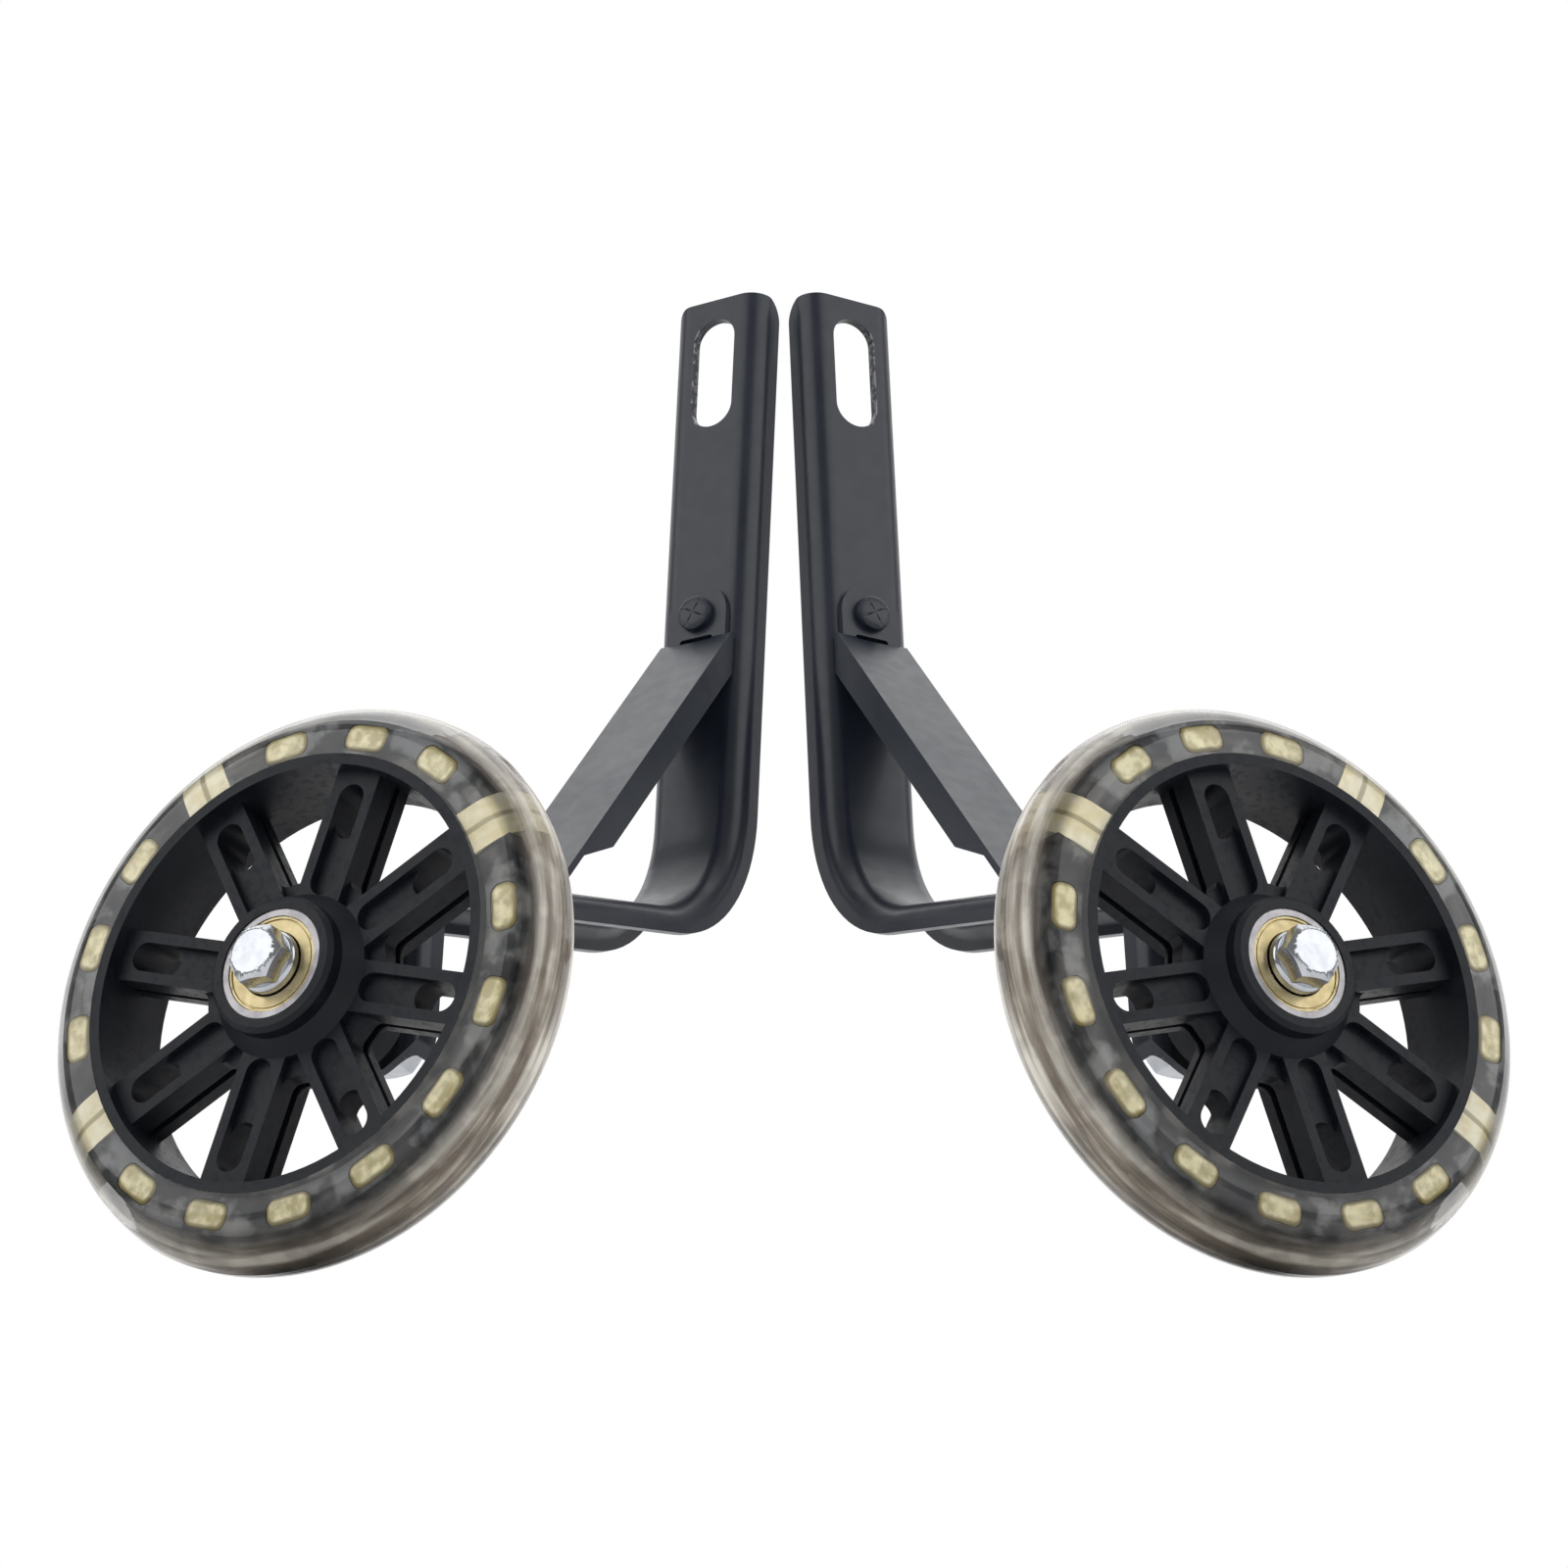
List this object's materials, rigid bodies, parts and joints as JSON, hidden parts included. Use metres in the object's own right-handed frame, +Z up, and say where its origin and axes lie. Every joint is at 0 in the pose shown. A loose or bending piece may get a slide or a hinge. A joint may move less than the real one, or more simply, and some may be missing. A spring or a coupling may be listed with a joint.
{
  "type": "bicycle training wheels",
  "caption": "Clip-on bicycle training wheels: slotted channel brackets with riveted braces, each carrying a spoked wheel with a clear light-up tyre on a bolt axle.",
  "frame": {"origin": "on the ground midway between the two wheels, at the middle of the bounding box", "axes": "+Z up as fitted to a bicycle; +X across the pair, from the left unit to the right one; +Y from the wheels towards the backs of the arms. Each unit is turned 30.3 degrees about Z, as in the picture."},
  "size_m": [0.277, 0.1562, 0.274],
  "materials": {
    "black_paint": "satin black paint",
    "bright_zinc": "bright zinc plate",
    "magnet": "sintered magnet",
    "bearing_steel": "ground bearing steel",
    "gold_passivate": "yellow passivated pressed steel",
    "black_plastic": "moulded satin black plastic",
    "clear_polyurethane": "clear moulded polyurethane",
    "cream_plastic": "cream potted light module"
  },
  "bodies": {
    "frame": {"left_bracket": "black_paint", "left_brace": "black_paint", "left_brace_rivets": "black_paint", "left_axle_bolt": "bright_zinc", "left_axle_collar": "bright_zinc", "left_magnet_sleeve": "magnet", "left_tab_spacer": "bright_zinc", "left_flat_washer": "bright_zinc", "left_spring_washer": "bright_zinc", "left_axle_nut": "bright_zinc", "left_outboard_inner_race": "bearing_steel", "left_inboard_inner_race": "bearing_steel", "right_bracket": "black_paint", "right_brace": "black_paint", "right_brace_rivets": "black_paint", "right_axle_bolt": "bright_zinc", "right_axle_collar": "bright_zinc", "right_magnet_sleeve": "magnet", "right_tab_spacer": "bright_zinc", "right_flat_washer": "bright_zinc", "right_spring_washer": "bright_zinc", "right_axle_nut": "bright_zinc", "right_outboard_inner_race": "bearing_steel", "right_inboard_inner_race": "bearing_steel"},
    "left_wheel": {"left_hub_core": "black_plastic", "left_tyre": "clear_polyurethane", "left_light_modules": "cream_plastic", "left_outboard_outer_race": "bearing_steel", "left_inboard_outer_race": "bearing_steel", "left_outboard_shields": "gold_passivate", "left_inboard_shields": "gold_passivate"},
    "left_ball_sets": {"left_outboard_balls": "bearing_steel", "left_outboard_cage": "bearing_steel", "left_inboard_balls": "bearing_steel", "left_inboard_cage": "bearing_steel"},
    "right_wheel": {"right_hub_core": "black_plastic", "right_tyre": "clear_polyurethane", "right_light_modules": "cream_plastic", "right_outboard_outer_race": "bearing_steel", "right_inboard_outer_race": "bearing_steel", "right_outboard_shields": "gold_passivate", "right_inboard_shields": "gold_passivate"},
    "right_ball_sets": {"right_outboard_balls": "bearing_steel", "right_outboard_cage": "bearing_steel", "right_inboard_balls": "bearing_steel", "right_inboard_cage": "bearing_steel"}
  },
  "joints": [
    {"name": "left_wheel_spin", "type": "hinge", "parent": "frame", "child": "left_wheel", "pos_m": [-0.0885, -0.0449, 0.0565], "axis": [-0.5045, -0.8634, 0], "continuous": true},
    {"name": "left_ball_orbit", "type": "hinge", "parent": "frame", "child": "left_ball_sets", "pos_m": [-0.0885, -0.0449, 0.0565], "axis": [-0.5045, -0.8634, 0], "continuous": true},
    {"name": "right_wheel_spin", "type": "hinge", "parent": "frame", "child": "right_wheel", "pos_m": [0.0885, -0.0449, 0.0565], "axis": [0.5045, -0.8634, 0], "continuous": true},
    {"name": "right_ball_orbit", "type": "hinge", "parent": "frame", "child": "right_ball_sets", "pos_m": [0.0885, -0.0449, 0.0565], "axis": [0.5045, -0.8634, 0], "continuous": true}
  ],
  "couplings": [
    {"joint": "left_ball_orbit", "follows": "left_wheel_spin", "ratio": 0.63233},
    {"joint": "right_ball_orbit", "follows": "right_wheel_spin", "ratio": 0.63233}
  ]
}
